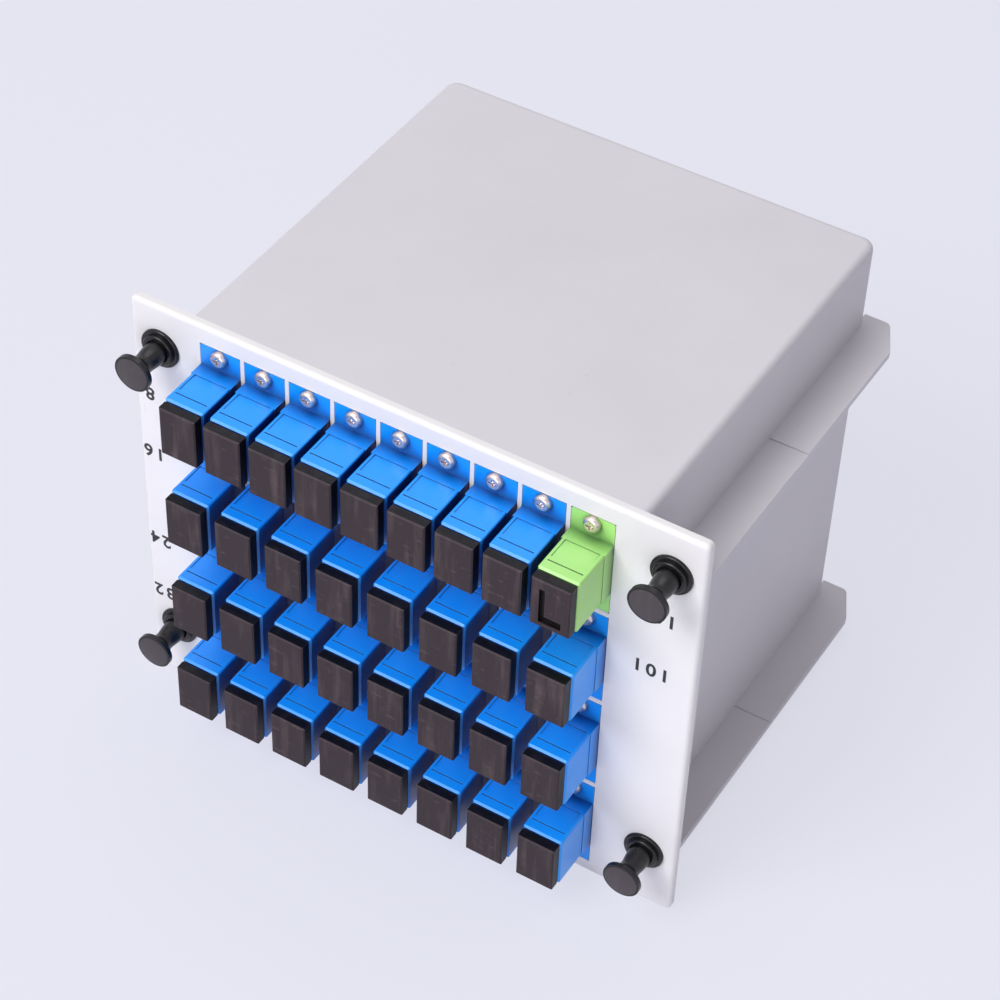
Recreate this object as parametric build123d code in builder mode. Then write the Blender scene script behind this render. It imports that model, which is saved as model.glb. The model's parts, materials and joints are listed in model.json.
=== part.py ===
from build123d import *
import os

# Fibre splitter cassette with 33 simplex adapters, standing on its long bottom face.
# The origin is at the middle of the bottom edge of the front panel's rear face.
# +X runs along the panel, +Y runs from the panel to the back, +Z is up.
# Sizes are in millimetres.

# Front panel plate, which stands out past the shell on both sides
panel_ear = 13.7
panel_height = 105.0
panel_thickness = 2.0
panel_corner = 1.2
panel_edge = 1.0

# Shell behind the panel
shell_width = 102.6
shell_depth = 96.0
shell_wall = 2.0
shell_rear_corner = 3.0
shell_edge = 1.6

# Guide fins on both sides of the shell
fin_reach = 8.7
fin_thickness = 1.6
upper_fin_drop = 21.0
lower_fin_top = 4.8
fin_overrun = 1.3
fin_lead_width = 3.9
fin_lead_length = 8.0
fin_corner = 1.6
fin_groove_start = 47.0
fin_groove_length = 5.0
fin_groove_depth = 0.35

# Block on the panel's back that plugs the shell's mouth, with two snap tongues
block_thickness = 2.0
block_clearance = 0.1
tongue_length = 9.0
tongue_thickness = 1.6
tongue_width = 70.0
snap_width = 12.0
snap_height = 0.7
snap_length = 2.4
snap_offset = 22.0
snap_clearance = 0.15

# Simplex adapters: a flange that sits in a pocket of the panel, and a square barrel
adapter_width = 9.1
adapter_height = 12.8
adapter_edge = 0.45
front_reach = 12.4
rear_reach = 13.2
mouth_chamfer = 0.4
collar_step = 0.125
collar_length = 3.4
flange_step = 0.15
flange_height = 23.2
flange_thickness = 1.8
flange_corner = 0.4
socket_side_wall = 0.8
socket_end_wall = 1.85
centre_wall = 1.6
key_width = 3.0
key_depth = 0.45
sleeve_holder_diameter = 4.6
sleeve_holder_length = 12.4
label_recess_width = 7.6
label_recess_start = 8.7
label_recess_depth = 0.2
rim_groove_start = 9.7
rim_groove_width = 0.35
pocket_clearance = 0.1
window_clearance = 0.1

# Adapter rows, placed from the panel's top edge and the shell's sides
first_row_drop = 16.1
row_pitch = 24.6
row_count = 4
left_margin = 7.85
right_margin = 10.35
top_row_count = 9
row_adapter_count = 8

# Adapter screws
screw_pitch = 19.5
screw_diameter = 1.9
screw_head_diameter = 3.6
screw_head_height = 1.3
screw_length = 5.2
screw_recess_width = 0.4
screw_recess_length = 1.8
screw_recess_depth = 0.4
pilot_clearance = 0.05
flange_hole_clearance = 0.15

# Alignment sleeves and the connectors plugged in from behind
ferrule_diameter = 2.5
ferrule_clearance = 0.02
sleeve_wall = 0.33
sleeve_length = 11.4
sleeve_slot = 0.4
holder_clearance = 0.05
plug_clearance = 0.1
plug_depth = 9.0
plug_length = 22.0
plug_wall = 0.9
plug_chamfer = 0.5
boot_diameter = 4.6
boot_tip_diameter = 2.2
boot_length = 9.0

# Dust caps
cap_side_inset = 0.3
cap_end_inset = 0.45
cap_thickness = 2.3
cap_gap = 0.3
cap_edge = 0.3
cap_plug_depth = 8.5
cap_plug_wall = 0.8
cap_floor = 1.2
mark_width = 1.3
mark_height = 8.6
mark_foot = 4.9
mark_foot_height = 1.9
mark_side = 2.4
mark_drop = 4.8
mark_depth = 0.9

# Push-pull latches near the panel's corners
latch_inset = 7.0
upper_latch_drop = 10.4
lower_latch_height = 15.3
latch_flange_diameter = 9.0
latch_flange_edge = 0.7
latch_ring_diameter = 7.2
latch_ring_height = 1.5
latch_bore = 5.4
latch_bore_depth = 3.4
latch_barrel_diameter = 6.6
latch_barrel_length = 5.5
latch_shoulder = 0.2
latch_slot = 0.9
latch_slot_length = 2.5
latch_hole_clearance = 0.1
plunger_head_diameter = 8.3
plunger_head_thickness = 1.0
plunger_reach = 9.6
plunger_dome = 0.3
plunger_shaft_diameter = 5.0
plunger_waist_diameter = 4.5
plunger_inset = 0.6
pin_diameter = 3.0
pin_clearance = 0.2
pin_end = 4.6

# Splitter module, stuck to the rear wall, and fibres
module_length = 60.0
module_depth = 11.5
module_height = 7.0
module_edge = 0.5
module_x = -3.0
pad_thickness = 1.0
port_depth = 0.6
fibre_diameter = 0.9
fibre_pitch = 1.3
fibre_bend = 5.0
turn_wall_gap = 3.3
sidestep_start = 10.0
sidestep_end = 25.0
input_lane = 25.0
input_level_drop = 12.3

panel_width = shell_width + 2 * panel_ear
inner_width = shell_width - 2 * shell_wall
inner_height = panel_height - 2 * shell_wall
front_face = Plane.XZ.offset(panel_thickness)
front_y = -panel_thickness
collar_width = adapter_width + 2 * collar_step
flange_width = adapter_width + 2 * flange_step
socket_width = adapter_width - 2 * socket_side_wall
socket_height = adapter_height - 2 * socket_end_wall
sleeve_diameter = ferrule_diameter + 2 * (ferrule_clearance + sleeve_wall)
latch_x = panel_width / 2 - latch_inset
latch_heights = (panel_height - upper_latch_drop, lower_latch_height)
first_column = left_margin - shell_width / 2
last_column = shell_width / 2 - right_margin


def column_positions(count):
    """X of each adapter in a row of this many."""
    pitch = (last_column - first_column) / (count - 1)
    return [first_column + pitch * index for index in range(count)]


row_counts = [top_row_count] + [row_adapter_count] * (row_count - 1)
row_heights = [panel_height - first_row_drop - row_pitch * row for row in range(row_count)]
places = [
    [(x, height) for x in column_positions(count)]
    for count, height in zip(row_counts, row_heights)
]
all_places = [place for row in places for place in row]
input_place = places[0][-1]
blue_places = [places[0][:-1]] + places[1:]
latch_places = [(side * latch_x, height) for height in latch_heights for side in (-1, 1)]

os.makedirs("parts", exist_ok=True)


def write(piece, label):
    """Name a finished piece and write its file."""
    piece.label = label
    export_step(piece, f"parts/{label}.step")


def write_copies(piece, spots, label):
    """Write one piece repeated at each (x, z) on the panel's front face."""
    with BuildPart() as group:
        add([piece.moved(Location((x, front_y, z))) for x, z in spots])
    write(group.part, label)


# Shell: five-sided box, open at the panel, with guide fins
with BuildPart() as shell:
    with BuildSketch(Plane.XY) as footprint:
        with Locations((0, shell_depth / 2)):
            Rectangle(shell_width, shell_depth)
        fillet(footprint.vertices().group_by(Axis.Y)[-1], shell_rear_corner)
    extrude(amount=panel_height)
    rim_edges = shell.faces().filter_by(Axis.Z).edges()
    fillet(rim_edges.filter_by(lambda edge: edge.center().Y > 1), shell_edge)
    with BuildSketch(Plane.XZ) as mouth:
        with Locations((0, panel_height / 2)):
            Rectangle(inner_width, inner_height)
    extrude(amount=-(shell_depth - shell_wall), mode=Mode.SUBTRACT)

    fin_root = shell_width / 2 - shell_wall / 2
    fin_outer = shell_width / 2 + fin_reach
    fin_end = shell_depth + fin_overrun
    for fin_top in (panel_height - upper_fin_drop, lower_fin_top):
        with BuildSketch(Plane.XY.offset(fin_top - fin_thickness)) as fin_outline:
            with BuildLine():
                Polyline(
                    (fin_root, 0),
                    (fin_outer, 0),
                    (fin_outer, fin_end - fin_lead_length),
                    (fin_outer - fin_lead_width, fin_end),
                    (fin_root, fin_end),
                    close=True,
                )
            make_face()
            lead_corners = fin_outline.vertices().sort_by(Axis.X)[-3:].sort_by(Axis.Y)[-2:]
            fillet(lead_corners, fin_corner)
            mirror(about=Plane.YZ)
        extrude(amount=fin_thickness)
        with BuildSketch(Plane.XY.offset(fin_top)):
            groove_x = shell_width / 2 + fin_reach / 2
            groove_y = fin_groove_start + fin_groove_length / 2
            with Locations((groove_x, groove_y), (-groove_x, groove_y)):
                Rectangle(fin_reach, fin_groove_length)
        extrude(amount=-fin_groove_depth, mode=Mode.SUBTRACT)

    # Pockets in the top and bottom walls that take the panel's snap bumps
    pocket_y = block_thickness + tongue_length - snap_length / 2
    pocket_size = snap_height + snap_clearance - block_clearance
    with BuildSketch(Plane.XZ.offset(-pocket_y + snap_length / 2 + snap_clearance)):
        for height in (panel_height - shell_wall, shell_wall):
            with Locations((-snap_offset, height), (snap_offset, height)):
                Rectangle(snap_width + 2 * snap_clearance, 2 * pocket_size)
    extrude(amount=-(snap_length + 2 * snap_clearance), mode=Mode.SUBTRACT)
write(shell.part, "shell")

# Front panel: plate with flange pockets, backing block and snap tongues
with BuildPart() as front_panel:
    with BuildSketch(Plane.XZ):
        with Locations((0, panel_height / 2)):
            RectangleRounded(panel_width, panel_height, panel_corner)
    extrude(amount=panel_thickness)
    fillet(front_panel.faces().sort_by(Axis.Y)[0].edges(), panel_edge)
    with BuildSketch(Plane.XZ):
        with Locations((0, panel_height / 2)):
            Rectangle(inner_width - 2 * block_clearance, inner_height - 2 * block_clearance)
    extrude(amount=-block_thickness)
    tongue_outer = inner_height / 2 - block_clearance
    with BuildSketch(Plane.XZ.offset(-block_thickness)):
        for side in (-1, 1):
            with Locations((0, panel_height / 2 + side * (tongue_outer - tongue_thickness / 2))):
                Rectangle(tongue_width, tongue_thickness)
    extrude(amount=-tongue_length)
    for side in (-1, 1):
        bump_base = panel_height / 2 + side * tongue_outer
        bump_start = block_thickness + tongue_length - snap_length
        with BuildSketch(Plane.YZ.offset(-snap_offset - snap_width / 2)) as bump:
            with BuildLine():
                Polyline(
                    (bump_start, bump_base),
                    (bump_start, bump_base + side * snap_height),
                    (bump_start + snap_length, bump_base),
                    (bump_start + snap_length, bump_base - side * tongue_thickness / 2),
                    (bump_start, bump_base - side * tongue_thickness / 2),
                    close=True,
                )
            make_face()
        extrude(amount=snap_width)
        with BuildSketch(Plane.YZ.offset(snap_offset - snap_width / 2)):
            add(bump.sketch_local)
        extrude(amount=snap_width)

    with BuildSketch(front_face):
        with Locations(*all_places):
            Rectangle(flange_width + 2 * pocket_clearance, flange_height + 2 * pocket_clearance)
    extrude(amount=-flange_thickness, mode=Mode.SUBTRACT)
    with BuildSketch(front_face):
        with Locations(*all_places):
            Rectangle(adapter_width + 2 * window_clearance, adapter_height + 2 * window_clearance)
            with Locations((0, screw_pitch / 2), (0, -screw_pitch / 2)):
                Circle(screw_diameter / 2 + pilot_clearance)
        with Locations(*latch_places):
            Circle(latch_barrel_diameter / 2 + latch_shoulder + latch_hole_clearance)
    extrude(amount=-(panel_thickness + block_thickness), mode=Mode.SUBTRACT)
write(front_panel.part, "front_panel")

# Adapter, in its own frame: the origin is at the flange's middle, flush with the panel's face
mid_y = (flange_thickness + rear_reach - front_reach) / 2
adapter_end = flange_thickness + rear_reach
holder_bore = sleeve_diameter / 2 + holder_clearance
with BuildPart() as adapter:
    with BuildSketch(Plane.XZ.offset(front_reach)):
        Rectangle(adapter_width, adapter_height)
    extrude(amount=-(front_reach + adapter_end))
    fillet(adapter.edges().filter_by(Axis.Y), adapter_edge)
    chamfer(adapter.faces().sort_by(Axis.Y)[0].edges(), mouth_chamfer)
    with BuildSketch(Plane.XZ.offset(collar_length)):
        Rectangle(collar_width, adapter_height)
    extrude(amount=-collar_length)
    with BuildSketch(Plane.XZ):
        RectangleRounded(flange_width, flange_height, flange_corner)
    extrude(amount=-flange_thickness)
    with BuildSketch(Plane.XZ.offset(front_reach)):
        Rectangle(socket_width, socket_height)
        with Locations((-(socket_width + key_depth) / 2, 0)):
            Rectangle(key_depth, key_width)
    extrude(amount=-(front_reach + mid_y - centre_wall / 2), mode=Mode.SUBTRACT)
    with BuildSketch(Plane.XZ.offset(-adapter_end)):
        Rectangle(socket_width, socket_height)
    extrude(amount=adapter_end - mid_y - centre_wall / 2, mode=Mode.SUBTRACT)
    with BuildSketch(Plane.XZ.offset(-(mid_y - sleeve_holder_length / 2))):
        Circle(sleeve_holder_diameter / 2)
    extrude(amount=-sleeve_holder_length)
    with BuildSketch(Plane.XZ.offset(-(mid_y - sleeve_holder_length / 2))):
        Circle(holder_bore)
    extrude(amount=-sleeve_holder_length, mode=Mode.SUBTRACT)
    with BuildSketch(Plane.XZ):
        with Locations((0, screw_pitch / 2), (0, -screw_pitch / 2)):
            Circle(screw_diameter / 2 + flange_hole_clearance)
    extrude(amount=-flange_thickness, mode=Mode.SUBTRACT)
    recess_length = label_recess_start - collar_length
    for side in (-1, 1):
        with BuildSketch(Plane.XY.offset(side * adapter_height / 2)):
            with Locations((0, -collar_length - recess_length / 2)):
                Rectangle(label_recess_width, recess_length)
            with Locations((0, -rim_groove_start - rim_groove_width / 2)):
                Rectangle(label_recess_width, rim_groove_width)
        extrude(amount=-side * label_recess_depth, mode=Mode.SUBTRACT)

for row, spots in enumerate(blue_places, start=1):
    write_copies(adapter.part, spots, f"adapters_row_{row}")
write_copies(adapter.part, [input_place], "input_adapter")

# Pan-head screw with a cross recess, in the adapter's frame at the flange's upper hole
with BuildPart() as screw:
    with BuildSketch(Plane.XZ):
        Circle(screw_head_diameter / 2)
    extrude(amount=screw_head_height)
    fillet(screw.faces().sort_by(Axis.Y)[0].edges(), screw_head_height * 0.55)
    with BuildSketch(Plane.XZ):
        Circle(screw_diameter / 2)
    extrude(amount=-screw_length)
    chamfer(screw.faces().sort_by(Axis.Y)[-1].edges(), screw_diameter / 4)
    with BuildSketch(Plane.XZ.offset(screw_head_height)):
        Rectangle(screw_recess_width, screw_recess_length)
        Rectangle(screw_recess_length, screw_recess_width)
    extrude(amount=-screw_recess_depth, mode=Mode.SUBTRACT)
screw_spots = [
    (x, z + side * screw_pitch / 2) for x, z in all_places for side in (1, -1)
]
write_copies(screw.part, screw_spots, "adapter_screws")

# Split alignment sleeve, in the adapter's frame
with BuildPart() as sleeve:
    with BuildSketch(Plane.XZ.offset(-(mid_y - sleeve_length / 2))):
        Circle(sleeve_diameter / 2)
        Circle(ferrule_diameter / 2 + ferrule_clearance, mode=Mode.SUBTRACT)
        with Locations((0, sleeve_diameter / 2)):
            Rectangle(sleeve_slot, sleeve_diameter, mode=Mode.SUBTRACT)
    extrude(amount=-sleeve_length)
write_copies(sleeve.part, all_places, "alignment_sleeves")

# Connector plugged into the adapter's rear socket: housing, ferrule and boot
plug_width = socket_width - 2 * plug_clearance
plug_height = socket_height - 2 * plug_clearance
plug_start = adapter_end - plug_depth
plug_end = plug_start + plug_length
plug_mouth_depth = mid_y + sleeve_holder_length / 2 + plug_clearance - plug_start
with BuildPart() as plug:
    with BuildSketch(Plane.XZ.offset(-plug_start)):
        Rectangle(plug_width, plug_height)
    extrude(amount=-plug_length)
    chamfer(plug.faces().sort_by(Axis.Y)[-1].edges(), plug_chamfer)
    with BuildSketch(Plane.XZ.offset(-plug_start)):
        Rectangle(plug_width - 2 * plug_wall, plug_height - 2 * plug_wall)
        Circle(sleeve_holder_diameter / 2 + plug_clearance)
    extrude(amount=-plug_mouth_depth, mode=Mode.SUBTRACT)
    with BuildSketch(Plane.XZ.offset(-plug_start)):
        Circle(ferrule_diameter / 2 + ferrule_clearance)
    extrude(amount=-plug_length / 2, mode=Mode.SUBTRACT)
write_copies(plug.part, all_places, "rear_connectors")

with BuildPart() as ferrule:
    with BuildSketch(Plane.XZ.offset(-mid_y)):
        Circle(ferrule_diameter / 2)
    extrude(amount=-(plug_start + plug_length / 2 - mid_y))
    chamfer(ferrule.faces().sort_by(Axis.Y)[0].edges(), ferrule_diameter / 8)
write_copies(ferrule.part, all_places, "connector_ferrules")

with BuildPart() as boot:
    with BuildSketch(Plane.XZ.offset(-plug_end)):
        Circle(boot_diameter / 2)
    with BuildSketch(Plane.XZ.offset(-(plug_end + boot_length))):
        Circle(boot_tip_diameter / 2)
    loft()
write_copies(boot.part, all_places, "connector_boots")

# Dust cap, in the adapter's frame: a head plate and a hollow plug
cap_back = front_reach + cap_gap
cap_face = cap_back + cap_thickness
with BuildPart() as cap:
    with BuildSketch(Plane.XZ.offset(cap_back)):
        Rectangle(adapter_width - 2 * cap_side_inset, adapter_height - 2 * cap_end_inset)
    extrude(amount=cap_thickness)
    chamfer(cap.faces().sort_by(Axis.Y)[0].edges(), cap_edge)
    with BuildSketch(Plane.XZ.offset(cap_back)):
        Rectangle(plug_width, plug_height)
    extrude(amount=-(cap_gap + cap_plug_depth))
    with BuildSketch(Plane.XZ.offset(cap_back - cap_gap - cap_plug_depth)):
        Rectangle(plug_width - 2 * cap_plug_wall, plug_height - 2 * cap_plug_wall)
        Circle(sleeve_holder_diameter / 2 + plug_clearance)
    extrude(amount=cap_plug_depth + cap_gap - cap_floor, mode=Mode.SUBTRACT)

# The input port's cap has a sunk corner mark on its face
with BuildPart() as marked_cap:
    add(cap.part)
    with BuildSketch(Plane.XZ.offset(cap_face)):
        with Locations((-mark_side, -mark_drop)):
            Rectangle(mark_width, mark_height, align=(Align.MIN, Align.MIN))
            Rectangle(mark_foot, mark_foot_height, align=(Align.MIN, Align.MIN))
    extrude(amount=-mark_depth, mode=Mode.SUBTRACT)

for row, spots in enumerate(blue_places, start=1):
    for column, spot in enumerate(spots, start=1):
        write_copies(cap.part, [spot], f"dust_cap_{row}_{column}")
write_copies(marked_cap.part, [input_place], "dust_cap_input")

# Latch grommet: thin flange, raised ring, and a barrel that ends in four legs
with BuildPart() as grommet:
    with BuildSketch(Plane.XY) as grommet_half:
        with BuildLine():
            Polyline(
                (latch_bore / 2, -latch_ring_height),
                (latch_ring_diameter / 2, -latch_ring_height),
                (latch_ring_diameter / 2, -latch_flange_edge),
                (latch_flange_diameter / 2, -latch_flange_edge),
                (latch_flange_diameter / 2, 0),
                (latch_barrel_diameter / 2 + latch_shoulder, 0),
                (latch_barrel_diameter / 2 + latch_shoulder, panel_thickness),
                (latch_barrel_diameter / 2, panel_thickness),
                (latch_barrel_diameter / 2, panel_thickness + latch_barrel_length),
                (pin_diameter / 2 + pin_clearance, panel_thickness + latch_barrel_length),
                (pin_diameter / 2 + pin_clearance, latch_bore_depth),
                (latch_bore / 2, latch_bore_depth),
                close=True,
            )
        make_face()
    revolve(axis=Axis.Y)
    ring_edges = grommet.edges().filter_by(GeomType.CIRCLE).group_by(Axis.Y)[0:2]
    fillet(ring_edges[0].sort_by(SortBy.RADIUS)[-1], (latch_ring_height - latch_flange_edge) / 2)
    fillet(ring_edges[1].sort_by(SortBy.RADIUS)[-1], latch_flange_edge / 2)
    with BuildSketch(Plane.XZ.offset(-(panel_thickness + latch_barrel_length))):
        Rectangle(latch_slot, latch_barrel_diameter * 2)
        Rectangle(latch_barrel_diameter * 2, latch_slot)
    extrude(amount=latch_slot_length, mode=Mode.SUBTRACT)

# Latch plunger: slightly domed head, waisted shaft and the pin that spreads the legs
head_radius = plunger_head_diameter / 2
head_back = -(plunger_reach - plunger_head_thickness)
with BuildPart() as plunger:
    with BuildSketch(Plane.XY) as plunger_half:
        with BuildLine():
            dome_top = (0, -(plunger_reach + plunger_dome))
            dome_side = (head_radius * 0.6, -(plunger_reach + plunger_dome * 0.7))
            ThreePointArc(dome_top, dome_side, (head_radius, -plunger_reach))
            Line((head_radius, -plunger_reach), (head_radius, head_back))
            Spline(
                (head_radius, head_back),
                (plunger_waist_diameter / 2, head_back + plunger_head_thickness * 2.2),
                (plunger_shaft_diameter / 2, -latch_ring_height - plunger_inset),
                tangents=[(-1, 0.25), (0, 1)],
            )
            Polyline(
                (plunger_shaft_diameter / 2, -latch_ring_height - plunger_inset),
                (plunger_shaft_diameter / 2, -plunger_inset),
                (pin_diameter / 2, -plunger_inset),
                (pin_diameter / 2, pin_end + panel_thickness),
                (0, pin_end + panel_thickness),
                dome_top,
            )
        make_face()
    revolve(axis=Axis.Y)

for number, spot in enumerate(latch_places, start=1):
    write_copies(grommet.part, [spot], f"latch_grommet_{number}")
    write_copies(plunger.part, [spot], f"latch_plunger_{number}")

# Splitter module, held to the shell's rear wall by a foam pad
pad_face_y = shell_depth - shell_wall - pad_thickness
module_z = (row_heights[1] + row_heights[2]) / 2
module_y = pad_face_y - module_depth / 2
module_right = module_x + module_length / 2
module_left = module_x - module_length / 2
lanes = [
    module_y + fibre_pitch * ((row_adapter_count - 1) / 2 - column)
    for column in range(row_adapter_count)
]

# Each row's level at the module, with the rows nearest to it on the outside
row_order = (1, 0, 3, 2)
levels = [
    module_z + fibre_pitch * ((row_count - 1) / 2 - row_order[row])
    for row in range(row_count)
]
turn_x = inner_width / 2 - turn_wall_gap
turns = [turn_x, turn_x - fibre_pitch, turn_x - fibre_pitch, turn_x]

with BuildPart() as module_pad:
    with BuildSketch(Plane.XZ.offset(-pad_face_y)):
        with Locations((module_x, module_z)):
            Rectangle(module_length, module_height)
    extrude(amount=-pad_thickness)
write(module_pad.part, "module_pad")

with BuildPart() as splitter_module:
    with BuildSketch(Plane.XZ.offset(-pad_face_y)):
        with Locations((module_x, module_z)):
            Rectangle(module_length, module_height)
    extrude(amount=module_depth)
    chamfer(splitter_module.faces().sort_by(Axis.Y)[0].edges().filter_by(Axis.X), module_edge)
    with BuildSketch(Plane.YZ.offset(module_right)):
        with Locations(*[(lane, level) for lane in lanes for level in levels]):
            Circle(fibre_diameter / 2)
    extrude(amount=-port_depth, mode=Mode.SUBTRACT)
    with BuildSketch(Plane.YZ.offset(module_left)):
        with Locations((module_y, module_z)):
            Circle(fibre_diameter / 2)
    extrude(amount=port_depth, mode=Mode.SUBTRACT)
write(splitter_module.part, "splitter_module")

# Fibres, each from its connector's boot to its port in the module
boot_end = front_y + plug_end + boot_length


def fibre(points):
    """Round tube along straight runs joined by tangent arcs."""
    with BuildPart() as tube:
        with BuildLine() as route:
            FilletPolyline(*points, radius=fibre_bend)
        with BuildSketch(Plane(points[0], z_dir=route.wire() % 0)):
            Circle(fibre_diameter / 2)
        sweep(path=route.wire())
    return tube.part


def output_route(x, z, lane, turn, level):
    """Back to the lane, across to the right wall, up or down, and in to the module."""
    if turn - x > 2 * fibre_bend:
        start = [(x, boot_end, z), (x, lane, z)]
    else:
        start = [
            (x, boot_end, z),
            (x, boot_end + sidestep_start, z),
            (turn, boot_end + sidestep_end, z),
        ]
    return start + [
        (turn, lane, z),
        (turn, lane, level),
        (module_right - port_depth, lane, level),
    ]


output_routes = [
    output_route(x, z, lane, turn, level)
    for spots, turn, level in zip(blue_places, turns, levels)
    for (x, z), lane in zip(spots, lanes)
]
with BuildPart() as output_fibres:
    add([fibre(route) for route in output_routes])
write(output_fibres.part, "output_fibres")

# The input fibre runs between the two top rows to the left wall, back, down and in
input_x, input_z = input_place
input_level = input_z - input_level_drop
input_lane_y = boot_end + input_lane
input_turn_x = -turn_x
input_fibre = fibre([
    (input_x, boot_end, input_z),
    (input_x, input_lane_y, input_z),
    (input_x, input_lane_y, input_level),
    (input_turn_x, input_lane_y, input_level),
    (input_turn_x, module_y, input_level),
    (input_turn_x, module_y, module_z),
    (module_left + port_depth, module_y, module_z),
])
write(input_fibre, "input_fibre")
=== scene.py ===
import json
import math
import bpy
from mathutils import Matrix, Vector


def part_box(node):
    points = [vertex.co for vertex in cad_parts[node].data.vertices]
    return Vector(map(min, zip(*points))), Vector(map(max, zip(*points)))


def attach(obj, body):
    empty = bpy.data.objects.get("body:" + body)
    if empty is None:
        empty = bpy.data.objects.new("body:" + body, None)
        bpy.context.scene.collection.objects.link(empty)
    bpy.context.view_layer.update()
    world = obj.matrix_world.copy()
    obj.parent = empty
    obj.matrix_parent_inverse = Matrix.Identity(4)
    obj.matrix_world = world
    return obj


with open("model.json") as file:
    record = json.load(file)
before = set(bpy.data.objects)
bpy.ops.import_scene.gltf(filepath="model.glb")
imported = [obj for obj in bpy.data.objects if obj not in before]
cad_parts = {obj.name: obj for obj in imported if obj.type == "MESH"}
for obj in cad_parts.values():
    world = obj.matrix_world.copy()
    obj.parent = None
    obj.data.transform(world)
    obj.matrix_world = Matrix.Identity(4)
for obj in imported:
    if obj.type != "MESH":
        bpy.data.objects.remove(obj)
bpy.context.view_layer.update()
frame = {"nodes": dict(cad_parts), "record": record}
scene = bpy.context.scene
nodes = frame["nodes"]
bpy.ops.object.select_all(action="DESELECT")
print("frame loaded:", len(nodes), "nodes")


# Shader maths, written as expressions on sockets

class Signal:
    def __init__(self, tree, socket):
        self.tree = tree
        self.socket = socket

    def maths(self, operation, first, second):
        step = self.tree.nodes.new("ShaderNodeMath")
        step.operation = operation
        for place, value in enumerate((first, second)):
            if isinstance(value, Signal):
                self.tree.links.new(value.socket, step.inputs[place])
            else:
                step.inputs[place].default_value = value
        return Signal(self.tree, step.outputs[0])

    def __add__(self, other):
        return self.maths("ADD", self, other)

    def __radd__(self, other):
        return self.maths("ADD", other, self)

    def __sub__(self, other):
        return self.maths("SUBTRACT", self, other)

    def __rsub__(self, other):
        return self.maths("SUBTRACT", other, self)

    def __mul__(self, other):
        return self.maths("MULTIPLY", self, other)

    def __rmul__(self, other):
        return self.maths("MULTIPLY", other, self)

    def highest(self, other):
        return self.maths("MAXIMUM", self, other)


class Finish:
    def __init__(self, name, owner=None):
        self.material = owner or bpy.data.materials.new(name)
        self.material.use_nodes = True
        self.tree = self.material.node_tree
        self.tree.nodes.clear()
        self.place = self.node("ShaderNodeTexCoord", {}, {}, "Object")

    def node(self, kind, settings, inputs, output=0):
        step = self.tree.nodes.new(kind)
        for name, value in settings.items():
            if name == "stops":
                self.setStops(step.color_ramp, value)
            else:
                setattr(step, name, value)
        for name, value in inputs.items():
            if isinstance(value, Signal):
                self.tree.links.new(value.socket, step.inputs[name])
            else:
                step.inputs[name].default_value = value
        return Signal(self.tree, step.outputs[output]) if step.outputs else None

    def setStops(self, ramp, stops):
        while len(ramp.elements) < len(stops):
            ramp.elements.new(0.5)
        for element, (position, value) in zip(ramp.elements, stops):
            element.position = position
            element.color = (value, value, value, 1)

    def maths(self, operation, first, second=0):
        return Signal(self.tree, None).maths(operation, first, second)

    def noise(self, scale, detail=3, roughness=0.5, stretch=(1, 1, 1)):
        spot = self.node("ShaderNodeMapping", {}, {"Vector": self.place, "Scale": stretch})
        return self.node("ShaderNodeTexNoise", {}, {
            "Vector": spot, "Scale": scale, "Detail": detail, "Roughness": roughness,
        })

    def ramp(self, signal, stops):
        return self.node("ShaderNodeValToRGB", {"stops": stops}, {"Fac": signal})

    def blend(self, amount, first, second):
        step = self.tree.nodes.new("ShaderNodeMix")
        step.data_type = "RGBA"
        for place, value in ((0, amount), (6, first), (7, second)):
            if isinstance(value, Signal):
                self.tree.links.new(value.socket, step.inputs[place])
            else:
                step.inputs[place].default_value = value
        return Signal(self.tree, step.outputs[2])

    def along(self, axis):
        return self.node("ShaderNodeSeparateXYZ", {}, {"Vector": self.place}, axis)

    def edges(self, radius):
        bevel = self.node("ShaderNodeBevel", {"samples": 8}, {"Radius": radius})
        flat = self.node("ShaderNodeNewGeometry", {}, {}, "Normal")
        product = {"operation": "DOT_PRODUCT"}
        turned = self.node("ShaderNodeVectorMath", product, {0: bevel, 1: flat}, "Value")
        return 1 - turned

    def bump(self, height, strength, distance):
        return self.node("ShaderNodeBump", {}, {
            "Height": height, "Strength": strength, "Distance": distance,
        })

    def surface(self, **inputs):
        named = {name.replace("_", " "): value for name, value in inputs.items()}
        shader = self.node("ShaderNodeBsdfPrincipled", {}, named)
        self.node("ShaderNodeOutputMaterial", {}, {"Surface": shader})
        return self.material


def linear(red, green, blue):
    steps = [part / 255 for part in (red, green, blue)]
    mixed = [
        part / 12.92 if part <= 0.04045 else ((part + 0.055) / 1.055) ** 2.4
        for part in steps
    ]
    return (*mixed, 1)


# Moulded plastics

caseLook = {
    "colour": (211, 207, 212), "cloud": (204, 200, 206), "soil": (176, 173, 170),
    "roughness": 0.44, "grain": 1400, "grainDepth": 0.00003,
}
panelLook = {
    "colour": (232, 229, 230), "cloud": (226, 223, 225), "soil": (196, 194, 192),
    "roughness": 0.42, "grain": 1400, "grainDepth": 0.000025,
}
mouldedLook = {
    "cloudScale": 28, "swirlScale": 9, "speckScale": 420,
    "cloudShare": 0.6, "speckShare": 0.25,
    "swirlRoughness": 0.10, "cloudRoughness": 0.06, "swirlRelief": 0.4, "relief": 0.5,
}


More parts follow.
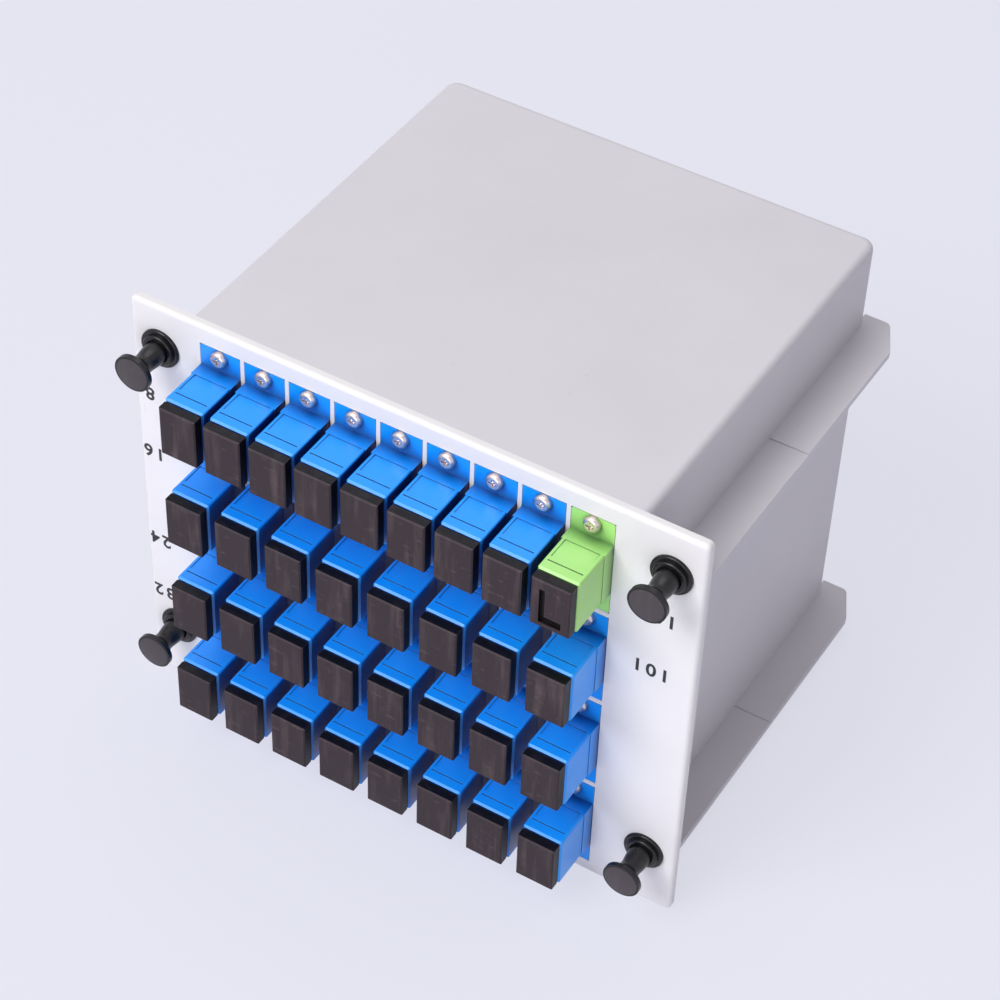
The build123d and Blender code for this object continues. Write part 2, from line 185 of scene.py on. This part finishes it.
def mouldedFinish(name, look):
    finish = Finish(name)
    shared = mouldedLook
    clouds = finish.ramp(finish.noise(shared["cloudScale"], 4, 0.6), [(0.35, 0), (0.7, 1)])
    grain = finish.noise(look["grain"], 2, 0.6)
    swirl = finish.noise(shared["swirlScale"], 5, 0.55, (1, 1, 0.4))
    specks = finish.ramp(finish.noise(shared["speckScale"], 2, 0.5), [(0.74, 0), (0.79, 1)])
    tone = finish.blend(
        clouds * shared["cloudShare"], linear(*look["colour"]), linear(*look["cloud"]),
    )
    tone = finish.blend(specks * shared["speckShare"], tone, linear(*look["soil"]))
    uneven = shared["swirlRoughness"] * (swirl - 0.5) + shared["cloudRoughness"] * clouds
    rough = look["roughness"] + uneven
    normal = finish.bump(
        grain + shared["swirlRelief"] * swirl, shared["relief"], look["grainDepth"],
    )
    return finish.surface(
        Base_Color=tone, Roughness=rough, Normal=normal, IOR=1.48, Specular_IOR_Level=0.45,
    )


# The third colour of each adapter is painted shade, for the sides that face a close neighbour.
adapterLook = {
    "green": {"colour": (172, 230, 130), "deep": (152, 214, 110), "paintedGapShade": (44, 96, 44)},
    "blue": {"colour": (5, 154, 255), "deep": (3, 139, 252), "paintedGapShade": (2, 14, 100)},
    "roughness": 0.38, "uneven": 0.12, "coat": 0.15, "coatRoughness": 0.25,
    "flowScale": 160, "deepShare": 0.35, "grain": 2600, "grainDepth": 0.00002, "relief": 0.35,
    "gapShadeReach": 0.006, "edgeRadius": 0.00025, "edgeHighlightPaling": 0.3, "edgeWearAndHighlight": 2.2,
}


def adapterFinish(name, look):
    finish = Finish(name)
    shared = adapterLook
    flow = finish.ramp(
        finish.noise(shared["flowScale"], 3, 0.5, (1, 0.35, 1)), [(0.3, 0), (0.75, 1)],
    )
    grain = finish.noise(shared["grain"], 2, 0.5)
    # Edges are paled toward white, partly as wear and partly as a painted highlight on the rims.
    rubbed = finish.edges(shared["edgeRadius"]) * shared["edgeWearAndHighlight"]
    paleEdgeHighlight = [part + (255 - part) * shared["edgeHighlightPaling"] for part in look["colour"]]
    # Painted shade: where ambient occlusion finds parts close by, as on sides facing the next adapter,
    # the colour is mixed toward a dark shade colour.
    aoOpenness = finish.node(
        "ShaderNodeAmbientOcclusion", {"samples": 6}, {"Distance": shared["gapShadeReach"]}, "AO",
    )
    gapShadeAmount = finish.ramp(aoOpenness, [(0.4, 0.95), (0.8, 0)])
    tone = finish.blend(
        flow * shared["deepShare"], linear(*look["colour"]), linear(*look["deep"]),
    )
    tone = finish.blend(rubbed, tone, linear(*paleEdgeHighlight))
    tone = finish.blend(gapShadeAmount, tone, linear(*look["paintedGapShade"]))
    normal = finish.bump(grain + 0.5 * flow, shared["relief"], shared["grainDepth"])
    return finish.surface(
        Base_Color=tone, Roughness=shared["roughness"] + shared["uneven"] * (flow - 0.5),
        Normal=normal, IOR=1.5,
        Coat_Weight=shared["coat"], Coat_Roughness=shared["coatRoughness"],
    )


# The side colours are painted shade: near black for the sides and sunk marks of caps and latches, with
# the face lighter.
capLook = {
    "face": (49, 38, 44), "side": (10, 8, 10), "scuffAndHighlight": (120, 106, 106),
    "faceRough": 0.5, "sideRough": 0.42, "faceDepth": 0.0003,
    "scratches": 0.6, "shine": 0.22,
}
latchLook = {
    "face": (63, 56, 60), "side": (13, 12, 14), "scuffAndHighlight": (108, 100, 104),
    "faceRough": 0.42, "sideRough": 0.28, "faceDepth": 0.0005,
    "scratches": 0.4, "shine": 0.4, "shadedRimStart": 0.88,
}
# Edge wear here is partly real wear and partly a painted highlight on the bevelled edges.
blackLook = {
    "cloudScale": 230, "streakScale": 420, "markScale": 900, "markShare": 0.3,
    "edgeRadius": 0.0002, "edgeWearAndHighlight": 2.0, "edgeShare": 0.4, "sideShare": 0.25,
    "wearRoughness": 0.16, "cloudRoughness": 0.08,
    "grain": 3000, "streakRelief": 0.6, "relief": 0.4, "grainDepth": 0.00002,
}


# How far a spot is from the nearest latch's axis. The latches stand the same to the left and right.

def latchDistance(finish):
    upper, lower = [sum(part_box(name), Vector()) / 2 for name in ("latch_plunger_2", "latch_plunger_4")]
    height = finish.along("Z")
    sideways = finish.maths("ABSOLUTE", finish.along("X")) - upper.x
    drops = [finish.maths("ABSOLUTE", height - centre.z) for centre in (upper, lower)]
    drop = finish.maths("MINIMUM", *drops)
    return finish.maths("SQRT", sideways * sideways + drop * drop)


# A satin face that points forward, with glossier sides behind it; the sides, sunk marks and a latch
# head's outer rim are painted near black as shade

def blackFinish(name, look, piece):
    finish = Finish(name)
    low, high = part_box(piece)
    face = finish.maths("LESS_THAN", finish.along("Y"), low.y + look["faceDepth"])
    # On a latch head, the outer rim beyond this share of the radius takes the painted shade colour of
    # the sides.
    if "shadedRimStart" in look:
        radius = (high.x - low.x) / 2
        face = face * finish.maths("LESS_THAN", latchDistance(finish), radius * look["shadedRimStart"])
    shared = blackLook
    clouds = finish.noise(shared["cloudScale"], 5, 0.65)
    streaks = finish.ramp(
        finish.noise(shared["streakScale"], 4, 0.6, (1, 1, 0.12)), [(0.5, 0), (0.78, 1)],
    )
    marks = finish.ramp(
        finish.noise(shared["markScale"], 3, 0.5, (0.35, 1, 1)), [(0.62, 0), (0.72, 1)],
    )
    # Edges are lightened toward the scuff colour, partly as wear and partly as a painted highlight on
    # the bevelled rims.
    wornEdgeHighlight = finish.edges(shared["edgeRadius"]) * shared["edgeWearAndHighlight"]
    exposed = shared["sideShare"] + (1 - shared["sideShare"]) * face
    rubbed = (clouds * streaks + marks * shared["markShare"]) * look["scratches"] * exposed
    wearAndHighlight = rubbed.highest(wornEdgeHighlight * shared["edgeShare"])
    # Painted shade: everything behind the face gets the dark side colour.
    faceAndShadedSides = finish.blend(face, linear(*look["side"]), linear(*look["face"]))
    tone = finish.blend(wearAndHighlight, faceAndShadedSides, linear(*look["scuffAndHighlight"]))
    gloss = look["sideRough"] + (look["faceRough"] - look["sideRough"]) * face
    dulled = shared["wearRoughness"] * wearAndHighlight
    rough = gloss + dulled + shared["cloudRoughness"] * (clouds - 0.5)
    relief = streaks * shared["streakRelief"] + finish.noise(shared["grain"], 2, 0.5)
    normal = finish.bump(relief, shared["relief"], shared["grainDepth"])
    return finish.surface(
        Base_Color=tone, Roughness=rough, Normal=normal, IOR=1.5,
        Specular_IOR_Level=look["shine"],
    )


# Metal, ceramic and the inner pieces

metalLook = {
    "brushScale": 900, "dullScale": 500, "dullShare": 0.3, "dullShade": 0.8,
    "dullRoughness": 0.15, "brushRoughness": 0.1, "relief": 0.3, "brushDepth": 0.00002,
}
plainLook = {
    "cloudSize": 6, "cloudShare": 0.5, "cloudShade": 0.9, "uneven": 0.12,
    "relief": 0.4, "grainDepth": 0.00003,
}


def metalFinish(name, colour, roughness, stretch):
    finish = Finish(name)
    look = metalLook
    brushed = finish.noise(look["brushScale"], 4, 0.6, stretch)
    dull = finish.ramp(finish.noise(look["dullScale"], 3, 0.5), [(0.45, 0), (0.7, 1)])
    shade = [part * look["dullShade"] for part in colour]
    tone = finish.blend(dull * look["dullShare"], linear(*colour), linear(*shade))
    uneven = look["dullRoughness"] * dull + look["brushRoughness"] * brushed
    return finish.surface(
        Base_Color=tone, Metallic=1.0, Roughness=roughness + uneven,
        Normal=finish.bump(brushed, look["relief"], look["brushDepth"]),
    )


def plainFinish(name, colour, roughness, grainScale):
    finish = Finish(name)
    look = plainLook
    clouds = finish.noise(grainScale / look["cloudSize"], 4, 0.6)
    grain = finish.noise(grainScale, 2, 0.6)
    shade = [part * look["cloudShade"] for part in colour]
    tone = finish.blend(clouds * look["cloudShare"], linear(*colour), linear(*shade))
    return finish.surface(
        Base_Color=tone, Roughness=roughness + look["uneven"] * (clouds - 0.5),
        Normal=finish.bump(grain, look["relief"], look["grainDepth"]),
    )


finishes = {
    "shell_plastic": mouldedFinish("shellPlastic", caseLook),
    "panel_plastic": mouldedFinish("panelPlastic", panelLook),
    "blue_plastic": adapterFinish("adapterBlue", adapterLook["blue"]),
    "green_plastic": adapterFinish("adapterGreen", adapterLook["green"]),
    "cap_plastic": blackFinish("capBlack", capLook, "dust_cap_input"),
    "latch_plastic": blackFinish("latchBlack", latchLook, "latch_plunger_1"),
    "screw_steel": metalFinish("screwPlated", (222, 206, 200), 0.26, (1, 1, 1)),
    "module_aluminium": metalFinish("moduleBrushed", (214, 216, 220), 0.3, (0.05, 1, 1)),
    "sleeve_ceramic": plainFinish("sleeveCeramic", (236, 235, 230), 0.18, 2000),
    "ferrule_ceramic": plainFinish("ferruleCeramic", (240, 239, 235), 0.15, 2000),
    "boot_rubber": plainFinish("bootRubber", (222, 222, 220), 0.6, 2400),
    "fibre_jacket": plainFinish("fibreJacket", (232, 226, 190), 0.4, 2600),
    "pad_foam": plainFinish("padFoam", (70, 70, 72), 0.9, 1500),
}
for part in frame["record"]["subparts"]:
    node = nodes[part["node"]]
    node.data.materials.clear()
    node.data.materials.append(finishes[part["material_slot"]])


# Printed numbers on the panel's face, turned upside down as the box stands

printLook = {
    "colour": (40, 39, 42), "height": 0.0032, "capShare": 0.7, "spacing": 1.3,
    "sink": 0.00002, "lift": 0.00004, "bold": 0.0001,
    "numbers": [
        ("101", 0.0556, 0.0675), ("10", 0.0574, 0.0823), ("8", -0.0616, 0.0809),
        ("16", -0.0616, 0.0647), ("24", -0.0616, 0.0395), ("32", -0.0616, 0.0239),
    ],
}


def printedNumber(text, x, z, look, finish):
    bpy.ops.object.text_add(location=(0, 0, 0))
    number = bpy.context.object
    number.data.body = text
    number.data.size = look["height"] / look["capShare"]
    number.data.align_x = "CENTER"
    number.data.align_y = "CENTER"
    number.data.space_character = look["spacing"]
    number.data.offset = look["bold"]
    number.data.extrude = (look["sink"] + look["lift"]) / 2
    bpy.ops.object.convert(target="MESH")
    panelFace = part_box("front_panel")[0].y
    middleDepth = panelFace - (look["lift"] - look["sink"]) / 2
    number.data.transform(Matrix.Rotation(math.pi, 4, "Z"))
    number.data.transform(Matrix.Rotation(math.radians(90), 4, "X"))
    number.data.transform(Matrix.Translation((x, middleDepth, z)))
    number.data.materials.append(finish)
    number.name = "print_" + text
    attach(number, "case")
    number.select_set(False)


inkFinish = plainFinish("printInk", printLook["colour"], 0.5, 2400)
for text, x, z in printLook["numbers"]:
    printedNumber(text, x, z, printLook, inkFinish)
print("numbers printed")


# Floor, lights and camera

stageLook = {
    "backdrop": (230, 230, 242), "floorSize": 6.0, "glowShare": 0.8,
    "worldStrength": 0.25, "backdropStrength": 1.0,
}


# Lamps and bounced light meet paper and a dim sky, and what is seen or mirrored is the plain backdrop

def seenDirectly(finish):
    rays = [finish.node("ShaderNodeLightPath", {}, {}, "Is %s Ray" % kind)
            for kind in ("Camera", "Glossy", "Transmission")]
    return finish.maths("MINIMUM", rays[0] + rays[1] + rays[2], 1)


def stageFinish(look):
    finish = Finish("floorPaper")
    colour = linear(*look["backdrop"])
    share = seenDirectly(finish) * look["glowShare"]
    lit = finish.node("ShaderNodeBsdfDiffuse", {}, {"Color": colour})
    glow = finish.node("ShaderNodeEmission", {}, {
        "Color": colour, "Strength": look["backdropStrength"],
    })
    mixed = finish.node("ShaderNodeMixShader", {}, {0: share, 1: lit, 2: glow})
    finish.node("ShaderNodeOutputMaterial", {}, {"Surface": mixed})
    return finish.material


bpy.ops.mesh.primitive_plane_add(size=stageLook["floorSize"], location=(0, 0, 0))
floor = bpy.context.object
floor.name = "floor"
floor.data.materials.append(stageFinish(stageLook))
floor.select_set(False)

scene.world = bpy.data.worlds.new("studio")
sky = Finish("studio", scene.world)
haze, backdrop = [
    sky.node("ShaderNodeBackground", {}, {"Color": linear(*stageLook["backdrop"]), "Strength": level})
    for level in (stageLook["worldStrength"], stageLook["backdropStrength"])
]
shown = sky.node("ShaderNodeMixShader", {}, {0: seenDirectly(sky), 1: haze, 2: backdrop})
sky.node("ShaderNodeOutputWorld", {}, {"Surface": shown})

lamps = {
    "keyLight": {"from": (-0.5, -1.0, 1.3), "size": 0.9, "power": 20},
    "topLight": {"from": (-0.1, 0.35, 1.5), "size": 1.2, "power": 8},
    "rightLight": {"from": (1.5, 0.1, 0.3), "size": 0.9, "power": 2.3},
    "frontLight": {"from": (0.1, -0.65, 0.12), "size": 0.3, "power": 1.3},
}
lampAim = Vector((0, 0.045, 0.05))


def addLamp(name, look):
    bpy.ops.object.light_add(type="AREA", location=look["from"])
    lamp = bpy.context.object
    lamp.name = name
    lamp.data.size = look["size"]
    lamp.data.energy = look["power"]
    aim = lampAim - Vector(look["from"])
    lamp.rotation_euler = aim.to_track_quat("-Z", "Y").to_euler()
    lamp.select_set(False)


for name, look in lamps.items():
    addLamp(name, look)

cameraLook = {
    "place": (0.21194, -0.33609, 0.46049), "lens": 101.43, "clip": 0.01,
    "right": (0.85316, 0.52078, 0.03004), "up": (-0.37801, 0.57753, 0.72358),
    "back": (0.35947, -0.62869, 0.68958),
}
bpy.ops.object.camera_add()
camera = bpy.context.object
axes = Matrix((cameraLook["right"], cameraLook["up"], cameraLook["back"])).transposed()
camera.matrix_world = Matrix.Translation(cameraLook["place"]) @ axes.to_4x4()
camera.data.lens = cameraLook["lens"]
camera.data.clip_start = cameraLook["clip"]
scene.camera = camera
scene.view_settings.view_transform = "Standard"
print("stage ready")
